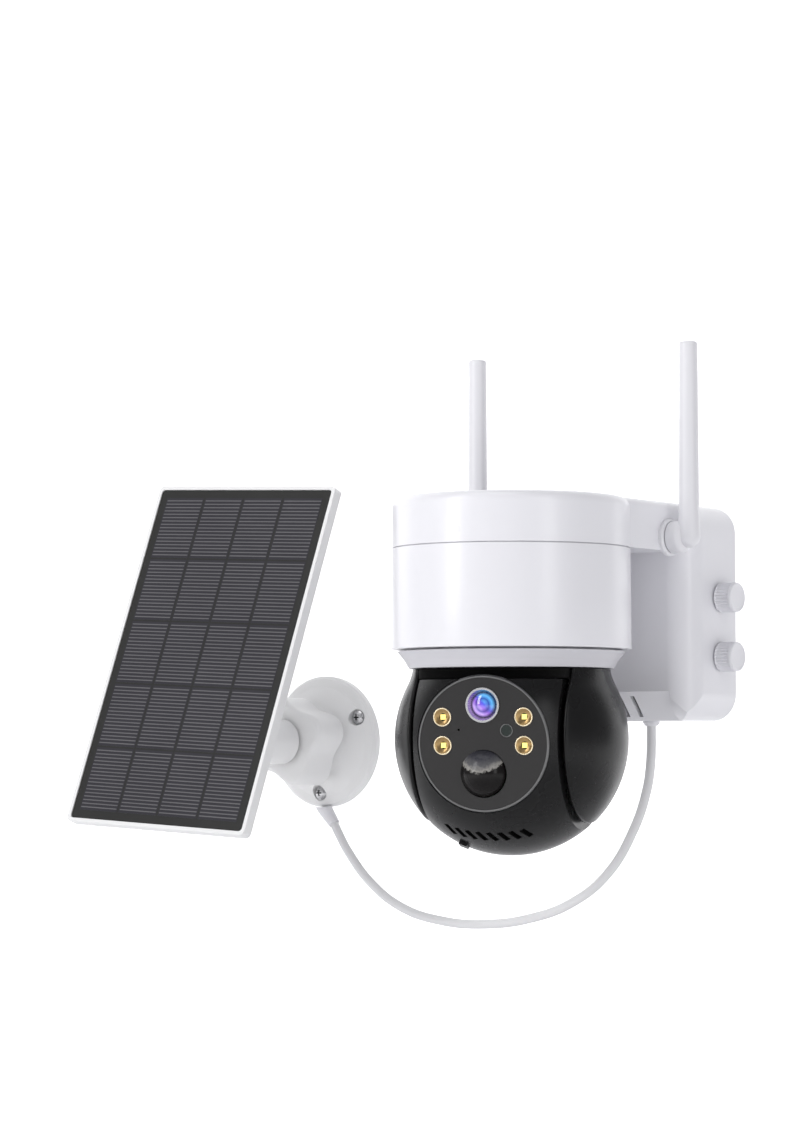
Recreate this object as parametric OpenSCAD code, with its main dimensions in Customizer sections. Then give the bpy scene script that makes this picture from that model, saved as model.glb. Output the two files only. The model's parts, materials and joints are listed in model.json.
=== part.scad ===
// Solar-powered pan and tilt security camera on a wall box, with its own
// solar panel on a ball-jointed wall bracket and the lead between the two.
//
// Frame: +Z is up, the wall is the plane y = 0 and everything stands out
// of it towards -Y. The origin is the middle of the wall plate's screws.

/* [Wall box] */
// Width of the battery box and its wall plate
box_w = 120; // [116:0.5:124]
// How far the box stands out of the wall
box_d = 45.7; // [44:0.1:48]
// Height of the box
box_h = 111; // [108:1:114]
// Rounding of the box's corners and front edges
box_r = 14; // [12:0.5:15]
// Wall thickness of the plastic shells
wall = 2.5; // [2:0.1:3]

/* [Camera head] */
// Distance from the wall to the pan axis
head_out = 117; // [114:0.5:120]
// Outside radius of the white drum
drum_r = 60; // [59:0.1:61]
// Outside radius of the black camera ball
ball_r = 58; // [57:0.1:58.3]
// Half width of the tilting middle slice of the ball
slice_half = 36.8; // [36:0.1:38]
// Turn of the camera about the pan axis when at rest, in degrees
pan_rest = 18; // [0:1:30]

/* [Aerials] */
// Distance from the middle plane to each aerial's rod
aerial_x = 65.6; // [65.3:0.1:67]
// Length of an aerial above its hinge
aerial_len = 99; // [80:1:120]
// Radius of an aerial at its foot
aerial_r = 5.2; // [4.8:0.1:5.4]

/* [Solar panel] */
// Width of the panel over its frame
panel_w = 125; // [120:1:140]
// Length of the panel over its frame
panel_h = 197.5; // [180:0.5:200]
// Thickness of the panel's frame
panel_t = 6; // [5:0.5:7]
// Lean of the panel back towards the wall at rest, in degrees
panel_lean = 19.6; // [10:0.1:25]
// Clockwise turn of the arm and panel about the arm at rest, in degrees
panel_roll = 2.8; // [-5:0.1:5]
// Columns of solar cells
cell_columns = 4; // [3:1:5]
// Rows of solar cells
cell_rows = 5; // [4:1:6]

/* [Panel bracket] */
// Distance of the bracket to the left of the wall box's middle
bracket_x = 209; // [200:1:220]
// Radius of the round wall base
base_r = 37; // [35:0.5:38]
// Radius of the arm tube
arm_r = 12.5; // [12:0.1:13]

/* [Hidden] */

$fn = 64;
eps = 0.01;
gap = 0.3;

// Heights, measured from the middle of the wall box
top_z = box_h / 2;
seam_z = 30;
drum_bottom_z = -20.4;
collar_top_z = -21.4;
collar_bottom_z = -30;
ball_z = -65;
plate_t = 3;
back_t = 4;

// Wall box
bolt_x = 60;
bolt_z = 70;
bolt_hole_r = 2.4;
arm_w = 106;
chamfer_w = 96;
chamfer_h = 14;
vent_count = 7;
vent_pitch = 8;
cell_r = 9.2;
cell_len = 65;
lead_x = 22;
lead_y = -22;
lead_r = 2.5;
post_x = 42;
post_z = 36;
post_r = 3.5;
box_screw_y = -3.8;
vent_w = 2.6;
vent_angle = -42;

// Clamp screws on the right side of the box
clamp_y = -15.9;
clamp_z = [7.7, -22.7];
clamp_r = 7.6;
clamp_len = 10;
clamp_ribs = 30;

// Yoke and ball
cheek_gap = 1.8;
yoke_r = 58.4;
neck_r = 49.4;
neck_low = ball_z + 29.5;
neck_high = collar_bottom_z - 0.5;
bridge_z = ball_z + 29.6;
bridge_front = -34;
ball_top = 29;
hub_r = 27.5;
plate_r = 31.5;
pocket_r = 29;
plate_x = slice_half + cheek_gap;
cheek_plate_t = 2.4;
trunnion_r = 6;
trunnion_fit = 0.06;

// Face of the ball: a flat disc set into the front
face_tilt = 3;
face_r = 32.4;
face_out = sqrt(ball_r * ball_r - (face_r + 1.6) * (face_r + 1.6));
lens_v = 18.8;
lens_r = 8.5;
lamp_u = 20.7;
lamp_v = [13, -0.8];
lamp_r = 4.6;
dome_v = -14.6;
dome_r = 11.6;
eye_u = 11.9;
eye_v = 6.4;
eye_r = 3.2;
mic_u = -12.4;
mic_v = 6.8;
slot_count = 8;
slot_pitch = 5.6;
slot_shift = -2.6;

// Gears: plain spur gears with straight-sided teeth
pan_module = 1.25;
pan_teeth = 48;
pan_pinion_teeth = 12;
tilt_module = 1;
tilt_teeth = 28;
tilt_pinion_teeth = 12;
gear_slack = 0.2;
pan_centres = (pan_teeth + pan_pinion_teeth) * pan_module / 2 + gear_slack;
tilt_centres = (tilt_teeth + tilt_pinion_teeth) * tilt_module / 2 + gear_slack;
pan_gear_z = -8;
pan_gear_t = 6;
tilt_gear_x = plate_x + cheek_plate_t + 1;
tilt_gear_t = 4;

// Aerials
boss_y = -54.2;
boss_z = 37;
boss_r = 9.4;
knuckle_r = 8.2;

// Screws that hold the collar to the drum
cover_screw_ring = 46;
cover_screw_r = 1.5;
cover_screw_angles = [45 : 90 : 315];

// Panel bracket
bracket_z = -65.8;
base_t = 5;
screw_ring_r = 29;
screw_angles = [28, 148, 268];
neck_base_r = 17;
ball_joint_y = -24;
ball_joint_r = 9;
lock_near = -17;
lock_far = -40;
lock_r = 20;
lock_hole_r = 9;
lobe_angle = 70;
arm_start = -42;
arm_end = -100;
panel_pivot = [0, -112, 0];
ear_r = 7.5;
panel_off = 12;
panel_up = 43.5;
border = 5;
lead_start = [-208, -7, -101];

// Route of the lead from the bracket's gland to the box's gland
lead_points = [
    [-199, -7, -112], [-195, -8, -117.5], [-187, -9, -128], [-171, -10, -144],
    [-149, -11, -157], [-121, -12.5, -163.5], [-91, -14, -164.5], [-60, -15.5, -160.5],
    [-31, -17, -151], [-8, -18.5, -135.5], [9, -20, -113], [18.5, -21, -91],
    [21.5, -22, -77], [22, -22, -67], [22, -22, -58]
];

// ---------------------------------------------------------------- helpers

module plate_outline(w, h, r) {
    square([w, h - 2 * r], center = true);
    square([w - 2 * r, h], center = true);
    for (sx = [-1, 1], sz = [-1, 1])
        translate([sx * (w / 2 - r), sz * (h / 2 - r)])
            circle(r);
}

// Outline drawn in X and Z, made solid from y = near back to y = far
module upright_plate(w, h, r, near, far) {
    translate([0, near, 0])
        rotate([90, 0, 0])
            linear_extrude(near - far)
                plate_outline(w, h, r);
}

// Profile of a box's depth: square at the wall, rounded by r at the front
module depth_profile(w, r, near, far) {
    translate([-w / 2, far + r])
        square([w, near - far - r]);
    translate([-w / 2 + r, far])
        square([w - 2 * r, near - far]);
    for (side = [-1, 1])
        translate([side * (w / 2 - r), far + r])
            circle(r);
}

// Box whose side corners and front edges are all rounded by r
module rounded_box(w, h, r, near, far) {
    intersection() {
        upright_plate(w, h, r, near, far);
        linear_extrude(h + 2, center = true)
            depth_profile(w, r, near, far);
        rotate([90, 0, 90])
            linear_extrude(w + 2, center = true)
                rotate(-90)
                    depth_profile(h, r, near, far);
    }
}

// Spur gear outline; one tooth lies on the +X axis, turned by "turn" degrees
module gear_outline(teeth, size, turn) {
    pitch_r = teeth * size / 2;
    step = 360 / teeth;
    polygon([
        for (i = [0 : teeth - 1], c = [[-1.05, -0.29], [0, -0.2], [0.75, -0.09],
                                       [0.75, 0.09], [0, 0.2], [-1.05, 0.29]])
            let (r = pitch_r + c[0] * size, a = turn + step * (i + c[1]))
                [r * cos(a), r * sin(a)]
    ]);
}

// A cylinder along Y: it starts at y = near and ends at y = far
module y_rod(r, near, far) {
    translate([0, near, 0])
        rotate([90, 0, 0])
            cylinder(r = r, h = near - far);
}

// A cylinder along X from x = low to x = high
module x_rod(r, low, high) {
    translate([low, 0, 0])
        rotate([0, 90, 0])
            cylinder(r = r, h = high - low);
}

// Panhead screw pointing in +Z, head at the bottom, with a cross recess
module screw(head_r, shank_r, length) {
    difference() {
        cylinder(r = head_r, h = head_r * 0.7);
        for (a = [0, 90])
            rotate(a)
                cube([head_r * 1.2, head_r * 0.28, head_r * 0.7], center = true);
    }
    translate([0, 0, head_r * 0.7 - eps])
        cylinder(r = shank_r, h = length);
}

module at_head() {
    translate([0, -head_out, 0])
        children();
}

// Frame of the yoke: on the pan axis, turned by the resting pan
module at_yoke() {
    at_head()
        rotate([0, 0, pan_rest])
            children();
}

// Frame of the ball: its centre, with the camera looking along -Y
module at_ball() {
    at_yoke()
        translate([0, 0, ball_z])
            children();
}

// Frame of the face: u to the right, v up, and z out of the face
module at_face() {
    at_ball()
        rotate([face_tilt, 0, 0])
            translate([0, -face_out, 0])
                rotate([90, 0, 0])
                    children();
}

module at_bracket() {
    translate([-bracket_x, 0, bracket_z])
        children();
}

// Frame of the arm: on the bracket's axis, with the arm's resting roll
module at_arm() {
    at_bracket()
        rotate([0, panel_roll, 0])
            children();
}

// Frame of the panel: its pivot, u to the right, v up the panel and -Y out of the cells
module at_panel() {
    at_arm()
        translate(panel_pivot)
            rotate([-panel_lean, 0, 0])
                children();
}

// --------------------------------------------------------------- wall box

module wall_plate() {
    color("gainsboro")
        difference() {
            upright_plate(box_w - 14, box_h - 14, 8, 0, -plate_t);
            for (sx = [-1, 1], sz = [-1, 1])
                translate([sx * bolt_x / 2, eps, sz * bolt_z / 2])
                    y_rod(bolt_hole_r, 0, -plate_t - 1);
        }
}

module box_back() {
    color("white")
        difference() {
            upright_plate(box_w - 2 * wall - 0.6, box_h - 2 * wall - 0.6, box_r - wall,
                          -plate_t - 0.1, -plate_t - back_t);
            for (sx = [-1, 1], sz = [-1, 1])
                translate([sx * post_x, 0, sz * post_z]) {
                    y_rod(1.8, 0, -10);
                    y_rod(3.1, 0, box_screw_y - 2);
                }
        }
}

// Space under the front's sloping lower face
module chamfer_cut(depth) {
    translate([-chamfer_w / 2, -box_d - 1, -box_h / 2 - 1])
        rotate([90, 0, 90])
            linear_extrude(chamfer_w)
                polygon([[0, 0], [chamfer_h + 1 - depth, 0], [0, chamfer_h + 3 - depth]]);
}

module vent_slots() {
    for (i = [0 : vent_count - 1])
        translate([(i - (vent_count - 1) / 2) * vent_pitch, -box_d + 6.5, -box_h / 2 + 7])
            rotate([vent_angle, 0, 0])
                cube([vent_w, 14, 9], center = true);
}

module battery_box() {
    color("white")
        difference() {
            rounded_box(box_w, box_h, box_r, 0, -box_d);
            difference() {
                rounded_box(box_w - 2 * wall, box_h - 2 * wall, box_r - wall, 1, -box_d + wall);
                chamfer_cut(-wall * 1.4);
                for (sx = [-1, 1], sz = [-1, 1])
                    translate([sx * post_x, -plate_t - back_t - 0.1, sz * post_z])
                        y_rod(post_r, 0, -box_d);
            }
            for (sx = [-1, 1], sz = [-1, 1])
                translate([sx * post_x, 0, sz * post_z])
                    y_rod(1.45, 0, -18);
            chamfer_cut(0);
            vent_slots();
            translate([0, -box_d, 43])
                cube([60, 20, 12], center = true);
            translate([lead_x, lead_y, -box_h / 2 - 1])
                cylinder(r = 4, h = wall + 2);
            for (z = clamp_z)
                translate([0, clamp_y, z])
                    x_rod(2.1, box_w / 2 - wall - 1, box_w / 2 + 1);
        }
}

module box_screws() {
    color("silver")
        for (sx = [-1, 1], sz = [-1, 1])
            translate([sx * post_x, box_screw_y, sz * post_z])
                rotate([90, 0, 0])
                    screw(2.8, 1.4, 8);
}

module battery_cells() {
    color("steelblue")
        for (i = [-1 : 1])
            translate([i * 21, -26, -cell_len / 2 - 6])
                cylinder(r = cell_r, h = cell_len);
}

module battery_holder() {
    color("dimgray")
        difference() {
            translate([-33, -24, -45.5])
                cube([66, 12, 73]);
            for (i = [-1 : 1])
                translate([i * 21, -26, -cell_len / 2 - 6.5])
                    cylinder(r = cell_r + gap, h = cell_len + 1);
        }
}

module charge_board() {
    color("darkgreen")
        translate([36, -30, -30])
            cube([1.6, 20, 55]);
    color("black")
        translate([37.6, -26, -18])
            cube([4, 12, 12]);
}

module lead_gland() {
    color("whitesmoke")
        translate([lead_x, lead_y, -box_h / 2])
            rotate([180, 0, 0])
                rotate_extrude()
                    polygon([[0, -4], [3.9, -4], [3.9, 0], [4.4, 0], [4.4, 1],
                             [3.2, 2.5], [0, 2.5]]);
}

module vent_mesh() {
    color("black")
        difference() {
            translate([0, -box_d + 11, -box_h / 2 + 11.5])
                rotate([vent_angle, 0, 0])
                    cube([58, 12, 1], center = true);
            for (i = [0 : 5])
                translate([(i - 2.5) * 9, -box_d + 11, -box_h / 2 + 11.5])
                    rotate([vent_angle, 0, 0])
                        cylinder(r = 1.2, h = 4, center = true);
        }
}

module clamp_screw(z) {
    translate([box_w / 2 + 1, clamp_y, z])
        rotate([0, 90, 0]) {
            difference() {
                cylinder(r = clamp_r, h = clamp_len);
                for (i = [0 : clamp_ribs - 1])
                    rotate(i * 360 / clamp_ribs)
                        translate([clamp_r + 0.15, 0, -1])
                            cylinder(r = 0.5, h = clamp_len * 0.85, $fn = 6);
                translate([0, 0, clamp_len])
                    rotate_extrude()
                        polygon([[clamp_r - 0.8, 0.1], [clamp_r + 1, 0.1], [clamp_r + 1, -1.7]]);
            }
            translate([0, 0, -12])
                cylinder(r = 2, h = 12 + eps);
        }
}

module clamp_screw_upper() {
    color("whitesmoke")
        clamp_screw(clamp_z[0]);
}

module clamp_screw_lower() {
    color("whitesmoke")
        clamp_screw(clamp_z[1]);
}

// ---------------------------------------------------------- top and drum

// Round of the top cover's upper edge, as a profile for turning
module cap_profile(r, low, high, round_r) {
    polygon([[0, low], [r, low], [r, high - round_r], [0, high - round_r]]);
    polygon([[0, low], [r - round_r, low], [r - round_r, high], [0, high]]);
    translate([r - round_r, high - round_r])
        circle(round_r);
}

module arm_prism(w, low, high, near, far, r) {
    translate([0, near, 0])
        rotate([90, 0, 0])
            linear_extrude(near - far) {
                translate([-w / 2, low])
                    square([w, high - low - r]);
                translate([-w / 2 + r, low])
                    square([w - 2 * r, high - low]);
                for (sx = [-1, 1])
                    translate([sx * (w / 2 - r), high - r])
                        circle(r);
            }
}

module top_cover() {
    color("white")
        difference() {
            union() {
                at_head()
                    rotate_extrude()
                        cap_profile(drum_r - 0.3, seam_z + 0.4, top_z, 5);
                difference() {
                    arm_prism(arm_w, seam_z + 0.4, top_z, -box_d + box_r, -head_out, 4);
                    translate([0, -box_d + box_r, top_z - box_r])
                        x_rod(box_r, -box_w, box_w);
                    translate([-box_w, -box_d, 0])
                        cube([2 * box_w, box_d, top_z - box_r]);
                }
            }
            at_head()
                translate([0, 0, seam_z - 1])
                    cylinder(r = drum_r - 3, h = top_z - seam_z + 1 - wall);
            arm_prism(arm_w - 2 * wall, seam_z + 0.4 + wall, top_z - wall,
                      -box_d + box_r, -head_out, 2);
            for (sx = [-1, 1])
                translate([0, boss_y, boss_z])
                    mirror([sx < 0 ? 1 : 0, 0, 0])
                        x_rod(3, arm_w / 2 - wall - 1, arm_w / 2 + 1);
        }
}

module cover_screw_bores(r, low) {
    for (a = cover_screw_angles)
        rotate(a)
            translate([cover_screw_ring, 0, low])
                cylinder(r = r, h = 12);
}

module drum_shell() {
    color("white")
        at_head()
            difference() {
                rotate_extrude()
                    polygon([
                        [30, drum_bottom_z], [drum_r, drum_bottom_z],
                        [drum_r - 0.3, seam_z], [drum_r - 1.6, seam_z],
                        [drum_r - 1.6, seam_z + 0.4], [drum_r - 3.3, seam_z + 0.4],
                        [drum_r - 3.3, seam_z + 3], [drum_r - 5, seam_z + 3],
                        [drum_r - 5, drum_bottom_z + wall], [30, drum_bottom_z + wall]
                    ]);
                cover_screw_bores(cover_screw_r + 0.1, drum_bottom_z - 1);
            }
}

module drum_collar() {
    color("lightgray")
        at_head()
            difference() {
                rotate_extrude()
                    polygon([
                        [26, collar_bottom_z], [51.2, collar_bottom_z], [57.2, collar_top_z],
                        [52, collar_top_z], [52, drum_bottom_z], [26, drum_bottom_z]
                    ]);
                cover_screw_bores(cover_screw_r + 0.05, collar_bottom_z + 4);
            }
}

module cover_screws() {
    color("silver")
        at_head()
            for (a = cover_screw_angles)
                rotate(a)
                    translate([cover_screw_ring, 0, drum_bottom_z + wall + 2.6])
                        rotate([180, 0, 0])
                            screw(3, cover_screw_r, 7);
}

module main_board() {
    color("darkgreen")
        at_head()
            translate([0, 0, 14])
                difference() {
                    cylinder(r = 50, h = 1.6);
                    translate([0, 0, -1])
                        cylinder(r = 10, h = 4);
                    translate([0, pan_centres, -1])
                        cylinder(r = 15, h = 4);
                }
    color("black")
        at_head()
            translate([-35, -34, 15.6 - eps])
                cube([16, 16, 2]);
    color("silver")
        at_head()
            translate([14, -38, 15.6 - eps])
                cube([22, 18, 3]);
}

module pan_bearing() {
    color("silver")
        at_head()
            rotate_extrude()
                difference() {
                    translate([14, drum_bottom_z + wall + 0.3])
                        square([15.6, 5]);
                    translate([21.8, drum_bottom_z + wall + 2.8])
                        circle(2);
                }
}

module pan_motor() {
    color("silver")
        at_head()
            translate([0, pan_centres, 0]) {
                cylinder(r = 13.5, h = 18);
                translate([0, 0, pan_gear_z + pan_gear_t + 1])
                    cylinder(r = 4.5, h = -pan_gear_z - pan_gear_t - 1 + eps);
                translate([0, 0, pan_gear_z - 1])
                    cylinder(r = 2, h = 9);
            }
}

module pan_pinion() {
    color("goldenrod")
        at_head()
            translate([0, pan_centres, pan_gear_z - 0.5])
                linear_extrude(pan_gear_t + 1)
                    difference() {
                        gear_outline(pan_pinion_teeth, pan_module,
                                     -90 + 180 / pan_pinion_teeth);
                        circle(2.05);
                    }
}

module pan_gear() {
    color("ivory")
        at_head()
            translate([0, 0, pan_gear_z])
                linear_extrude(pan_gear_t)
                    difference() {
                        gear_outline(pan_teeth, pan_module, 90);
                        circle(12);
                        for (a = [30 : 60 : 330])
                            rotate(a)
                                translate([20, 0])
                                    circle(4);
                    }
}

// ------------------------------------------------------------ yoke, ball

module yoke_shaft() {
    color("dimgray")
        at_head()
            rotate_extrude()
                polygon([
                    [6, neck_high], [25, neck_high], [25, collar_bottom_z + 1.5],
                    [13.9, collar_bottom_z + 3], [13.9, pan_gear_z - 0.5], [18, pan_gear_z - 0.5],
                    [18, pan_gear_z], [12, pan_gear_z], [12, pan_gear_z + pan_gear_t + 3],
                    [6, pan_gear_z + pan_gear_t + 3]
                ]);
}

// The slice between the cheeks that the ball turns in
module slice_space(half, low, high) {
    translate([-half, -80, low])
        cube([2 * half, 160, high - low]);
}

// Outline of the yoke, turned about the pan axis: ball with a short neck
module yoke_profile() {
    difference() {
        circle(yoke_r);
        translate([-80, -80])
            square([80, 160]);
        translate([0, neck_low - ball_z])
            square([80, 80]);
    }
    translate([0, neck_low - ball_z - 0.5])
        square([neck_r, neck_high - neck_low + 0.5]);
}

module yoke_shell() {
    color([0.06, 0.06, 0.065])
        at_ball()
            difference() {
                rotate_extrude($fn = 96)
                    yoke_profile();
                slice_space(plate_x, -80, bridge_z - ball_z);
                translate([-plate_x, bridge_front - 40, 0])
                    cube([2 * plate_x, 40, 60]);
                for (sx = [0, 1])
                    mirror([sx, 0, 0]) {
                        x_rod(plate_r, plate_x - 1, plate_x + cheek_plate_t);
                        x_rod(pocket_r, plate_x, tilt_gear_x + tilt_gear_t + 0.6);
                        x_rod(pocket_r - 2.5, tilt_gear_x, tilt_gear_x + tilt_gear_t + 3.6);
                    }
                translate([0, 0, 20])
                    cylinder(r = 6, h = 20);
            }
}

module cheek_plate() {
    difference() {
        x_rod(plate_r - gap, plate_x, plate_x + cheek_plate_t);
        x_rod(trunnion_r + trunnion_fit, plate_x - 1, plate_x + 5);
    }
}

module cheek_plate_left() {
    color("black")
        at_ball()
            mirror([1, 0, 0])
                cheek_plate();
}

module cheek_plate_right() {
    color("black")
        at_ball()
            cheek_plate();
}

// Part of the turning slice that must be cut back to pass under the bridge
module rear_relief(r) {
    difference() {
        union() {
            translate([-60, -80, ball_top])
                cube([120, 160, 60]);
            translate([-60, 0, 0])
                rotate([90, 0, 90])
                    linear_extrude(120)
                        polygon([[0, 0], [0, 90], [90, 90], [90, -90]]);
        }
        x_rod(r, -60, 60);
    }
}

module ball_shell() {
    color([0.07, 0.07, 0.075])
        at_ball()
            difference() {
                intersection() {
                    sphere(ball_r);
                    slice_space(slice_half, -60, 60);
                }
                rear_relief(hub_r);
                difference() {
                    intersection() {
                        sphere(ball_r - wall);
                        slice_space(slice_half - wall, -60, 60);
                    }
                    translate([0, 0, -wall])
                        rear_relief(hub_r - 2 * wall);
                }
                rotate([face_tilt, 0, 0])
                    translate([0, -face_out + 4, 0])
                        y_rod(face_r + 1.4, 0, -40);
                rotate([face_tilt, 0, 0])
                    y_rod(face_r - 2, -30, -60);
                speaker_slots();
                reset_block(0.2);
                x_rod(trunnion_r + trunnion_fit, -60, 60);
                translate([0, 18, -6])
                    rotate([-45, 0, 0])
                        translate([0, 4, -20])
                            cube([60, 30, 22], center = true);
            }
}

// Slanted slots under the face, in front of the speaker
module speaker_slots() {
    for (i = [0 : slot_count - 1])
        translate([slot_shift + (i - (slot_count - 1) / 2) * slot_pitch, -32, -47.1])
            rotate([52, 0, 0])
                rotate([0, -26, 0])
                    cube([2.9, 16, 7.6], center = true);
}

// Block of the small cover over the reset button, grown by "extra" on each side
module reset_block(extra) {
    translate([-18.9, -18.1, -51.8])
        rotate([-18, 20, 0])
            cube([4.4 + 2 * extra, 5.4 + 2 * extra, 3 + 2 * extra], center = true);
}

module ball_rear_cover() {
    color([0.09, 0.09, 0.095])
        at_ball()
            translate([0, 18, -6])
                rotate([-45, 0, 0])
                    translate([0, 12.4, -20])
                        difference() {
                            cube([59.4, wall, 21.4], center = true);
                            for (sx = [-1, 1])
                                translate([sx * 25, 0, 0])
                                    rotate([90, 0, 0])
                                        cylinder(r = 1.2, h = 6, center = true);
                        }
}

module tilt_trunnions() {
    color("dimgray")
        at_ball()
            for (sx = [0, 1])
                mirror([sx, 0, 0])
                    difference() {
                        union() {
                            x_rod(trunnion_r, slice_half - eps, tilt_gear_x + tilt_gear_t + 1);
                            x_rod(9, slice_half - wall - 2, slice_half - wall);
                            x_rod(trunnion_r, slice_half - wall - eps, slice_half);
                        }
                        x_rod(3.2, slice_half - 8, 60);
                    }
}

module tilt_gear() {
    color("ivory")
        at_ball()
            translate([tilt_gear_x, 0, 0])
                rotate([0, 90, 0])
                    linear_extrude(tilt_gear_t)
                        difference() {
                            gear_outline(tilt_teeth, tilt_module, 0);
                            circle(trunnion_r);
                        }
}

module tilt_pinion() {
    color("goldenrod")
        at_ball()
            translate([tilt_gear_x - 0.3, 0, -tilt_centres])
                rotate([0, 90, 0])
                    linear_extrude(tilt_gear_t + 0.6)
                        difference() {
                            gear_outline(tilt_pinion_teeth, tilt_module,
                                         180 + 180 / tilt_pinion_teeth);
                            circle(1.55);
                        }
}

module tilt_motor() {
    color("silver")
        at_ball()
            translate([0, 0, -tilt_centres]) {
                x_rod(5.5, tilt_gear_x + tilt_gear_t + 1.2, tilt_gear_x + tilt_gear_t + 3.4);
                x_rod(1.5, tilt_gear_x - 0.6, tilt_gear_x + tilt_gear_t + 1.3);
            }
}

module reset_cover() {
    color("black")
        at_ball()
            reset_block(0);
}

// -------------------------------------------------------------- the face

module face_rim() {
    color("gray")
        at_face()
            rotate_extrude()
                polygon([[face_r - 0.1, -2], [face_r + 1.2, -2], [face_r + 1.2, -0.2],
                         [face_r + 0.5, 0.5], [face_r - 0.1, 0.5]]);
}

module face_plate() {
    color([0.2, 0.2, 0.2])
        at_face()
            difference() {
                translate([0, 0, -2])
                    cylinder(r = face_r - 0.2, h = 2.3);
                translate([0, lens_v, -3])
                    cylinder(r = lens_r + 0.1, h = 5);
                for (su = [-1, 1], v = lamp_v)
                    translate([su * lamp_u, v, -3])
                        cylinder(r = lamp_r + 0.1, h = 5);
                translate([0, dome_v, -3])
                    cylinder(r = dome_r + 0.1, h = 5);
                translate([eye_u, eye_v, -3])
                    cylinder(r = eye_r + 0.1, h = 5);
                translate([mic_u, mic_v, -3])
                    cylinder(r = 0.6, h = 5);
            }
}

module lens_barrel() {
    color("silver")
        at_face()
            translate([0, lens_v, 0])
                rotate_extrude()
                    polygon([[4, -14], [lens_r - 1.5, -14], [lens_r - 1.5, -2], [lens_r, -2],
                             [lens_r, 0.9], [lens_r - 1, 0.9], [6.2, -1.5], [6.2, -2.5], [4, -4]]);
}

module lens_glass() {
    color([0.25, 0.2, 0.6])
        at_face()
            translate([0, lens_v, -2.4])
                intersection() {
                    translate([0, 0, -7])
                        sphere(9.2);
                    cylinder(r = 6.1, h = 6);
                }
}

module lamp_rings() {
    color("goldenrod")
        at_face()
            for (su = [-1, 1], v = lamp_v)
                translate([su * lamp_u, v, 0])
                    rotate_extrude()
                        polygon([[1.9, -1.8], [lamp_r, -1.8], [lamp_r, 0.6],
                                 [lamp_r - 0.7, 0.6], [2.4, -0.9], [1.9, -0.9]]);
}

module lamp_chips() {
    color("moccasin")
        at_face()
            for (su = [-1, 1], v = lamp_v)
                translate([su * lamp_u, v, -1.3])
                    cube([2.5, 2.5, 1], center = true);
}

module motion_dome() {
    color([0.85, 0.85, 0.86])
        at_face()
            translate([0, dome_v, 0])
                difference() {
                    intersection() {
                        translate([0, 0, -6.5])
                            sphere(13.2);
                        translate([0, 0, -2])
                            cylinder(r = dome_r, h = 12);
                    }
                    translate([0, 0, -8])
                        sphere(12.8);
                }
}

module light_sensor() {
    color([0.05, 0.12, 0.09])
        at_face()
            translate([eye_u, eye_v, -1.8])
                cylinder(r = eye_r, h = 1.9);
}

module sensor_board() {
    color("darkgreen")
        at_face()
            difference() {
                translate([0, 0, -5.6])
                    cylinder(r = face_r - 3, h = 1.6);
                translate([0, lens_v, -7])
                    cylinder(r = 8.2, h = 5);
            }
    color("silver")
        at_face()
            translate([0, dome_v, -4 - eps])
                cylinder(r = 4.6, h = 2.2);
}

module image_board() {
    color("darkgreen")
        at_face()
            translate([-16, lens_v - 18, -16])
                cube([32, 26, 1.6]);
    color("black")
        at_face()
            translate([-5, lens_v - 5, -14.4])
                cube([10, 10, 0.4]);
}

module speaker() {
    color("black")
        at_ball()
            translate([0, -20, -33])
                rotate([142, 0, 0])
                    difference() {
                        cylinder(r = 14, h = 6);
                        translate([0, 0, 4.5])
                            cylinder(r = 11, h = 3);
                    }
}

// --------------------------------------------------------------- aerials

module aerial_boss() {
    translate([arm_w / 2, boss_y, boss_z])
        rotate([0, 90, 0])
            difference() {
                union() {
                    rotate_extrude()
                        polygon([[0, 0.05], [boss_r, 0.05], [boss_r, 1.6], [boss_r - 0.9, 2.6], [0, 2.6]]);
                    translate([0, 0, -4])
                        cylinder(r = 2.9, h = 4.1);
                }
                translate([0, 0, -5])
                    cylinder(r = 1.76, h = 9);
            }
}

module aerial_boss_left() {
    color("whitesmoke")
        mirror([1, 0, 0])
            aerial_boss();
}

module aerial_boss_right() {
    color("whitesmoke")
        aerial_boss();
}

// Rod with a round foot, its hinge collar and its hinge pin
module aerial() {
    translate([0, boss_y, boss_z]) {
        translate([aerial_x, 0, 0]) {
            sphere(aerial_r + 0.5);
            cylinder(r1 = aerial_r + 0.5, r2 = aerial_r, h = 14);
            translate([0, 0, 14 - eps])
                cylinder(r1 = aerial_r, r2 = aerial_r - 0.5, h = aerial_len - 14);
        }
        x_rod(knuckle_r, arm_w / 2 + 3, aerial_x - 3);
        x_rod(1.7, arm_w / 2 - 4, arm_w / 2 + 4);
    }
}

module aerial_left() {
    color("whitesmoke")
        mirror([1, 0, 0])
            aerial();
}

module aerial_right() {
    color("whitesmoke")
        aerial();
}

// ---------------------------------------------------------- panel bracket

// Half section of the base: flange, cone, neck, and the ball's socket
module bracket_profile() {
    socket_r = ball_joint_r + gap;
    difference() {
        polygon([
            [0, 0], [base_r, 0], [base_r, base_t - 1.5], [base_r - 1.5, base_t],
            [base_r - 6, base_t + 0.8], [neck_base_r + 3, 11], [neck_base_r - 1, 14],
            [neck_base_r - 1, -ball_joint_y + 5], [0, -ball_joint_y + 5]
        ]);
        translate([0, -ball_joint_y])
            circle(socket_r);
        translate([-1, -ball_joint_y])
            square([9, 10]);
    }
}

module bracket_base() {
    color("white")
        at_bracket()
            difference() {
                rotate([90, 0, 0])
                    rotate_extrude()
                        bracket_profile();
                for (a = screw_angles)
                    rotate([0, -a, 0])
                        translate([screw_ring_r, 0, 0]) {
                            y_rod(2.2, 1, -12);
                            y_rod(4.6, -base_t + 0.4, -14);
                        }
            }
}

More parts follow.
